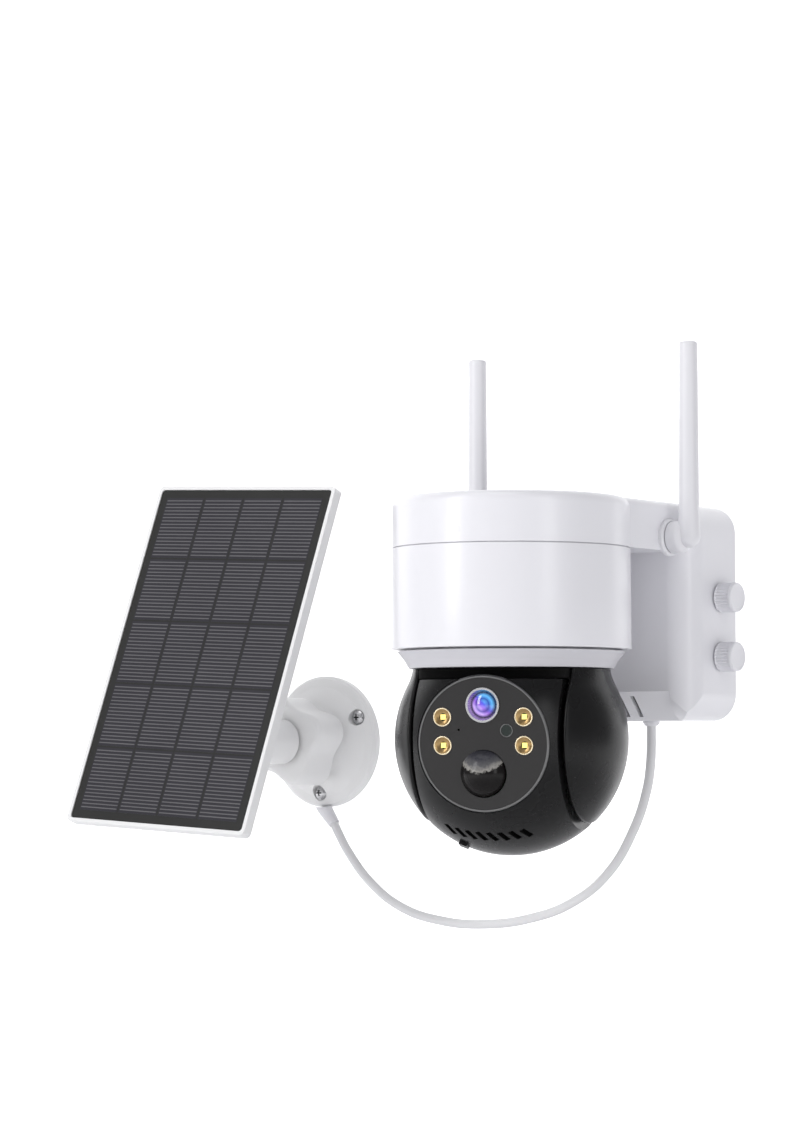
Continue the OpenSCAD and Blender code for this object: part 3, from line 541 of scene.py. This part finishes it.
def cheek_row(radius, height, around=40, bend=6, across=30):
    """One closed loop of a cheek at a height: outer arc, rounded edges and inner face."""
    centre_x = CHEEK_X + CHEEK_EDGE
    centre_y = math.sqrt(max((radius - CHEEK_EDGE) ** 2 - centre_x ** 2, 0.0))
    start = math.atan2(centre_y, centre_x)
    row = [(radius * math.cos(a), radius * math.sin(a))
           for a in (start * (2 * i / around - 1) for i in range(around + 1))]
    for k in range(1, bend + 1):
        a = start + (math.pi - start) * k / bend
        row.append((centre_x + CHEEK_EDGE * math.cos(a), centre_y + CHEEK_EDGE * math.sin(a)))
    for k in range(1, across):
        y = centre_y * (1 - 2 * k / across)
        sink = PLATE_SINK if math.hypot(y, height) < PLATE_R else 0.0
        row.append((CHEEK_X + sink, y))
    for k in range(bend):
        a = math.pi + (math.pi - start) * k / bend
        row.append((centre_x + CHEEK_EDGE * math.cos(a), -centre_y + CHEEK_EDGE * math.sin(a)))
    return [(x, y, height) for x, y in row]


def cheek_loops():
    loops = []
    steps_up = 36
    for i in range(steps_up):
        height = NECK_TOP * (1 - i / steps_up)
        loops.append(cheek_row(yoke_radius(height), height))
    widest = math.sqrt((YOKE_R - CHEEK_EDGE) ** 2 - (CHEEK_X + CHEEK_EDGE) ** 2)
    steps_down = 40
    for i in range(steps_down):
        reach = widest * math.cos(math.pi / 2 * i / steps_down)
        radius = CHEEK_EDGE + math.hypot(reach, CHEEK_X + CHEEK_EDGE)
        loops.append(cheek_row(radius, -math.sqrt(YOKE_R ** 2 - radius ** 2)))
    return loops


def make_yoke():
    bm = bmesh.new()
    for side in (1, -1):
        rings = [[bm.verts.new(Vector((side * x, y, z)) * MM) for x, y, z in loop]
                 for loop in cheek_loops()]
        for first, second in zip(rings, rings[1:]):
            bridge_rings(bm, first, second)
        bm.faces.new(rings[0])
        low = CHEEK_X + 2 * CHEEK_EDGE
        tip = bm.verts.new(Vector((side * (CHEEK_X + CHEEK_EDGE), 0,
                                   -math.sqrt(YOKE_R ** 2 - low ** 2) - 0.5)) * MM)
        bridge_rings(bm, rings[-1], [tip])
    stand_in("yoke", bm, BLACK_GLOSS, "yoke", "yoke_shell", where=YOKE)


def make_yoke_bridge():
    """Web that joins the cheeks above the ball, cut flat at the front, in near-black matte as
    painted shade for the void under the collar.
    """
    bm = bmesh.new()
    rings = []
    for z in (BRIDGE_LOW, NECK_TOP):
        ring = []
        for i in range(120):
            a = 2 * math.pi * i / 120
            x = max(-CHEEK_X, min(CHEEK_X, NECK_R * math.cos(a)))
            y = max(BRIDGE_FRONT, NECK_R * math.sin(a))
            ring.append(bm.verts.new(Vector((x, y, z)) * MM))
        rings.append(ring)
    bridge_rings(bm, rings[0], rings[1])
    bm.faces.new(rings[0])
    bm.faces.new(rings[1])
    add_piece("yoke_bridge", bm, BLACK_PAINTED_SHADE, "yoke", YOKE)


make_yoke()
make_yoke_bridge()

# --------------------------------------------------------------- the face

FACE_TILT = 3.0
FACE = (Matrix.Translation(centre_of("face_rim")) @ YOKE.to_3x3().to_4x4()
        @ Matrix.Rotation(math.radians(FACE_TILT), 4, "X")
        @ Matrix.Rotation(math.radians(90), 4, "X"))
LENS_R = 6.1
DOME_R = 11.6
LAMP_X = 20.7
LAMP_Y = 6.9


def on_face(node, depth):
    """The face's frame moved to the middle of a node, at a depth in mm from the rim's middle."""
    at = FACE.inverted() @ centre_of(node)
    return FACE @ Matrix.Translation((at.x, at.y, depth * MM))


def dome_outline(radius, rise, low, steps=24):
    """Half outline of a shallow dome over a rim of that radius, closed below at low."""
    ball = (radius * radius + rise * rise) / (2 * rise)
    reach = math.asin(radius / ball)
    points = [(ball * math.sin(reach * i / steps), ball * math.cos(reach * i / steps) - ball + rise)
              for i in range(steps + 1)]
    return points + [(radius, low), (0, low)]


def make_lens():
    bm = bmesh.new()
    turned(bm, dome_outline(LENS_R, 2.0, -2.5), steps=96)
    stand_in("lens", bm, lens_painted_reflection_material(LENS_R * MM), "ball", "lens_glass",
             where=on_face("lens_glass", -0.8))


def make_dome():
    bm = bmesh.new()
    turned(bm, dome_outline(DOME_R, 6.9, -1.0), steps=128)
    stand_in("motion_lens", bm, dome_painted_reflection_material(DOME_R * MM), "ball", "motion_dome",
             where=on_face("motion_dome", 0.6))


def make_lamps():
    """Four brown-gold cups, each inside a thin pale rim."""
    where = Matrix.Translation(centre_of("lamp_rings")) @ FACE.to_3x3().to_4x4()
    cups = bmesh.new()
    rims = bmesh.new()
    for x in (-LAMP_X, LAMP_X):
        for y in (-LAMP_Y, LAMP_Y):
            at = Matrix.Translation(Vector((x, y, 0)) * MM)
            turned(cups, [(1.9, -1.2), (3.95, -1.2), (3.95, 0.9), (2.5, -0.2), (1.9, -0.3)], at, 48)
            turned(rims, filleted([(3.95, -1.2, 0), (4.6, -1.2, 0), (4.6, 1.2, 0.2),
                                   (3.95, 1.2, 0.2)]), at, 64)
    stand_in("lamp_cups", cups, GOLD, "ball", "lamp_rings", where=where)
    add_piece("lamp_rims", rims, PALE_GOLD, "ball", where)


def make_light_window():
    """Dark green disc inside a thin metal ring."""
    where = Matrix.Translation(centre_of("light_sensor")) @ FACE.to_3x3().to_4x4()
    disc = bmesh.new()
    turned(disc, [(0, -0.95), (2.75, -0.95), (2.75, 0.95), (0, 0.95)], steps=64)
    stand_in("light_window", disc, SENSOR_GREEN, "ball", "light_sensor", where=where)
    ring = bmesh.new()
    turned(ring, filleted([(2.75, -0.95, 0), (3.2, -0.95, 0), (3.2, 1.25, 0.15),
                           (2.75, 1.25, 0.15)]), steps=64)
    add_piece("light_window_ring", ring, RIM_METAL, "ball", where)


make_lens()
make_dome()
make_lamps()
make_light_window()

# ------------------------------------------------------------ clamp screws

KNOB_R = 7.6
KNOB_RIBS = 27
RIB_DEPTH = 0.9


def knob_radius(radius, height, angle):
    """Ribs on the side of the knob that fade out at its inner edge and near its smooth end."""
    if radius < KNOB_R - 0.01:
        return radius
    fade = min(1.0, max(0.0, height - 0.3) / 0.6, max(0.0, 8.2 - height) / 0.5)
    wave = 0.5 - 0.5 * math.cos(KNOB_RIBS * angle)
    return radius - RIB_DEPTH * fade * wave ** 0.6


def make_knob(name, body, node):
    low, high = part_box(node)
    at = Vector((high.x - 0.010, (low.y + high.y) / 2, (low.z + high.z) / 2))
    side = [(KNOB_R, 0.3 + 0.3 * i) for i in range(28)]
    outline = ([(0, -12), (2, -12), (2, 0), (KNOB_R - 0.3, 0)] + side
               + filleted([(KNOB_R - 0.02, 8.9, 0), (KNOB_R - 0.02, 10, 0.7), (6.5, 10, 0.15),
                           (6.1, 9.75, 0.2), (0, 9.75, 0)]))
    bm = bmesh.new()
    turned(bm, outline, steps=KNOB_RIBS * 8, radius_at=knob_radius)
    where = Matrix.Translation(at) @ Matrix.Rotation(math.radians(90), 4, "Y")
    stand_in(name, bm, WHITE, body, node, where=where, sharp=50)


make_knob("upper_knob", "upper_clamp", "clamp_screw_upper")
make_knob("lower_knob", "lower_clamp", "clamp_screw_lower")

# ------------------------------------------------------------- solar cells

PANEL_LEAN = 19.6
PANEL_BORDER = 6.5
COLUMNS = 4
ROWS = 5
FINGERS = 17             # printed lines across each cell
PANEL_X = Vector(JOINTS["panel_tilt"]["axis"])
PANEL_W = 120.4
PANEL_H = 192.9
SHEET_T = 3.15


def panel_matrix():
    """The panel's frame: X across, Y up the panel and Z out of the cells, at the cells' middle."""
    back = Vector((0, 1, 0))
    upright = PANEL_X.cross(back)
    lean = math.radians(PANEL_LEAN)
    up = upright * math.cos(lean) + back * math.sin(lean)
    out = PANEL_X.cross(up)
    matrix = Matrix((PANEL_X, up, out)).transposed().to_4x4()
    return Matrix.Translation(centre_of("panel_cells")) @ matrix


def make_cells():
    where = panel_matrix()
    face = SHEET_T / 2
    bm = bmesh.new()
    half_w = PANEL_W / 2
    half_h = PANEL_H / 2
    corners = [(sx * half_w, sy * half_h, 1.8) for sx, sy in ((-1, -1), (1, -1), (1, 1), (-1, 1))]
    slab(bm, filleted(corners), -face, face, 0.25)
    stand_in("cell_sheet", bm, LAMINATE, "panel", "panel_cells", where=where)
    wide = (PANEL_W + 4.6 - 2 * PANEL_BORDER) / COLUMNS
    high = (PANEL_H + 4.6 - 2 * PANEL_BORDER) / ROWS
    cells = bmesh.new()
    fingers = bmesh.new()
    for i in range(COLUMNS):
        for j in range(ROWS):
            x = (i - (COLUMNS - 1) / 2) * wide
            y = (j - (ROWS - 1) / 2) * high
            block(cells, x, y, wide - 1.3, high - 1.0, face - 0.1, face + 0.06)
            for k in range(FINGERS):
                line = y + (k - (FINGERS - 1) / 2) * (high - 2.4) / FINGERS
                block(fingers, x, line, wide - 2.4, 0.62, face, face + 0.1)
    add_piece("cell_tiles", cells, CELL, "panel", where)
    add_piece("cell_fingers", fingers, FINGER, "panel", where)


make_cells()

# ----------------------------------------------------------------- bracket

BRACKET = (Matrix.Translation((JOINTS["lock_turn"]["pos_m"][0], 0, JOINTS["lock_turn"]["pos_m"][2]))
           @ Matrix.Rotation(math.radians(90), 4, "X"))
LOBE_ANGLE = math.radians(20)
LOBE_RISE = 3.0
SCREW_RING = 29
SCREW_ANGLES = (28, 148, 268)
SCREW_TOP = 7.4
SCREW_RISE = 1.8
SCREW_R = 3.9


def lobed_radius(radius, height, angle):
    """Outer wall of the ring swung in and out four times round; the bore stays round."""
    if radius < 17:
        return radius
    return radius + LOBE_RISE * math.cos(4 * (angle - LOBE_ANGLE))


def make_lock_ring():
    bm = bmesh.new()
    turned(bm, filleted([(16.4, 17, 0), (22.6, 17, 0.8), (22.6, 40, 3), (9, 40, 0.6), (9, 33.5, 0),
                         (16.4, 33.5, 0)], 8), steps=192, radius_at=lobed_radius)
    stand_in("lobed_nut", bm, WHITE_BRACKET, "lock_nut", "lock_ring", where=BRACKET, sharp=50)


def make_bracket_screws():
    """Three domed screws, each with a dark cross standing through its top as painted shade for the
    cross recess.
    """
    heads = bmesh.new()
    cross_painted_shade = bmesh.new()
    outline = (dome_outline(SCREW_R, SCREW_RISE, -0.9)[:-1]
               + [(1.8, -0.9), (1.8, -4.9), (0, -4.9)])
    for degrees in SCREW_ANGLES:
        x = SCREW_RING * math.cos(math.radians(degrees))
        y = SCREW_RING * math.sin(math.radians(degrees))
        at = Matrix.Translation(Vector((x, y, SCREW_TOP - SCREW_RISE)) * MM)
        turned(heads, outline, at, 48)
        # matte black bars in place of the shaded cross recess: painted shade
        block(cross_painted_shade, x, y, 3.4, 0.8, 6.9, SCREW_TOP + 0.02)
        block(cross_painted_shade, x, y, 0.8, 3.4, 6.9, SCREW_TOP + 0.02)
    stand_in("bracket_screw_heads", heads, STEEL, "housing", "bracket_screws", where=BRACKET)
    add_piece("bracket_screw_cross_painted_shade", cross_painted_shade, BLACK_MATTE, "housing", BRACKET)


make_lock_ring()
make_bracket_screws()

# ------------------------------------------------------------------ aerials


FOOT_R = 5.7
KNUCKLE_R = 8.2
BOSS_FACE = 56           # mm from the middle plane to the start of each knuckle


def make_aerial(name, body, node, side):
    """Rod with a round foot and a softly cut top, and the hinge knuckle beside it."""
    low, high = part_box(node)
    hinge = Vector(JOINTS[body + "_fold"]["pos_m"])
    rod_x = (low.x + FOOT_R * MM) if side < 0 else (high.x - FOOT_R * MM)
    rod = Matrix.Translation((rod_x, hinge.y, hinge.z))
    top = (high.z - hinge.z) / MM
    outline = [(FOOT_R * math.sin(a), -FOOT_R * math.cos(a))
               for a in (math.pi / 2 * i / 16 for i in range(17))]
    outline += [(5.65, 2), (5.5, 6), (5.32, 10), (5.2, 14)]
    outline += filleted([(5.2, 14, 0), (4.7, top, 1.2), (3.4, top, 0.2), (3.2, top - 0.3, 0.1),
                         (0, top - 0.3, 0)])[1:]
    bm = bmesh.new()
    turned(bm, outline, rod, 64)
    reach = abs(rod_x) / MM - BOSS_FACE
    sideways = (Matrix.Translation((side * BOSS_FACE * MM, hinge.y, hinge.z))
                @ Matrix.Rotation(math.radians(90 * side), 4, "Y"))
    turned(bm, filleted([(0, 0, 0), (KNUCKLE_R, 0, 0.5), (KNUCKLE_R, reach - 3, 2.5), (3, reach, 0),
                         (0, reach, 0)]), sideways, 64)
    stand_in(name, bm, WHITE_SOFT, body, node)


make_aerial("left_rod", "left_aerial", "aerial_left", -1)
make_aerial("right_rod", "right_aerial", "aerial_right", 1)

# --------------------------------------------------------- floor and light

FLOOR_Z = -0.42
GLOW_NEAR = 0.7          # metres from the object where the backdrop starts to glow
GLOW_FAR = 1.6
GLOW_LOW = 0.04
GLOW_HIGH = 0.85
AMBIENT = 0.36
# name, place, aim, size, watts
LIGHTS = (
    ("key", (-0.75, -2.0, 0.75), (0, -0.12, 0), (0.55, 1.7), 19),
    ("strip", (1.95, -0.8, 0.55), (0, -0.1, 0), (0.5, 1.5), 7),
    ("top", (-0.2, -0.7, 1.9), (0, -0.05, 0), (1.4, 1.0), 7.5),
)


def make_stage():
    """Pale floor that curves up into a pale backdrop, lit from within away from the object."""
    bm = bmesh.new()
    half = 6.0
    sweep = 1.2
    rows = [(-4.0, FLOOR_Z)]
    for i in range(17):
        a = math.radians(90 * i / 16)
        rows.append((1.5 + sweep * math.sin(a), FLOOR_Z + sweep * (1 - math.cos(a))))
    rows.append((1.5 + sweep, 6.0))
    turn = Matrix.Rotation(math.radians(VIEW_YAW), 3, "Z")
    last = None
    for y, z in rows:
        pair = [bm.verts.new(turn @ Vector((x, y, z))) for x in (-half, half)]
        if last:
            bm.faces.new((last[0], last[1], pair[1], pair[0]))
        last = pair
    mesh = bpy.data.meshes.new("backdrop")
    bm.to_mesh(mesh)
    bm.free()
    for face in mesh.polygons:
        face.use_smooth = True
    floor = bpy.data.objects.new("backdrop", mesh)
    bpy.context.scene.collection.objects.link(floor)
    material, tree, shader = surface("backdrop", (0.85, 0.85, 0.86), 0.9, spec=0.0)
    where = place(tree)
    two_colours(tree, shader, noise(tree, where, 0.8), (0.84, 0.84, 0.85), (0.86, 0.86, 0.87))
    away = tree.nodes.new("ShaderNodeVectorMath")
    away.operation = "LENGTH"
    tree.links.new(where, away.inputs[0])
    glow = tree.nodes.new("ShaderNodeMapRange")
    socket(glow, "From Min", GLOW_NEAR)
    socket(glow, "From Max", GLOW_FAR)
    socket(glow, "To Min", GLOW_LOW)
    socket(glow, "To Max", GLOW_HIGH)
    tree.links.new(away.outputs["Value"], glow.inputs["Value"])
    socket(shader, "Emission Color", (1, 1, 1, 1))
    tree.links.new(glow.outputs["Result"], shader.inputs["Emission Strength"])
    mesh.materials.append(material)


make_stage()


def area_light(name, at, aim, size, power):
    data = bpy.data.lights.new(name, "AREA")
    data.shape = "RECTANGLE"
    data.size = size[0]
    data.size_y = size[1]
    data.energy = power
    light = bpy.data.objects.new(name, data)
    bpy.context.scene.collection.objects.link(light)
    light.location = at
    light.rotation_euler = (Vector(aim) - Vector(at)).to_track_quat("-Z", "Y").to_euler()


def make_lights():
    for name, at, aim, size, power in LIGHTS:
        area_light(name, at, aim, size, power)
    world = bpy.data.worlds.new("studio")
    world.use_nodes = True
    back = world.node_tree.nodes["Background"]
    socket(back, "Color", (0.93, 0.93, 0.97, 1))
    socket(back, "Strength", AMBIENT)
    bpy.context.scene.world = world
    bpy.context.scene.view_settings.view_transform = "Standard"


make_lights()
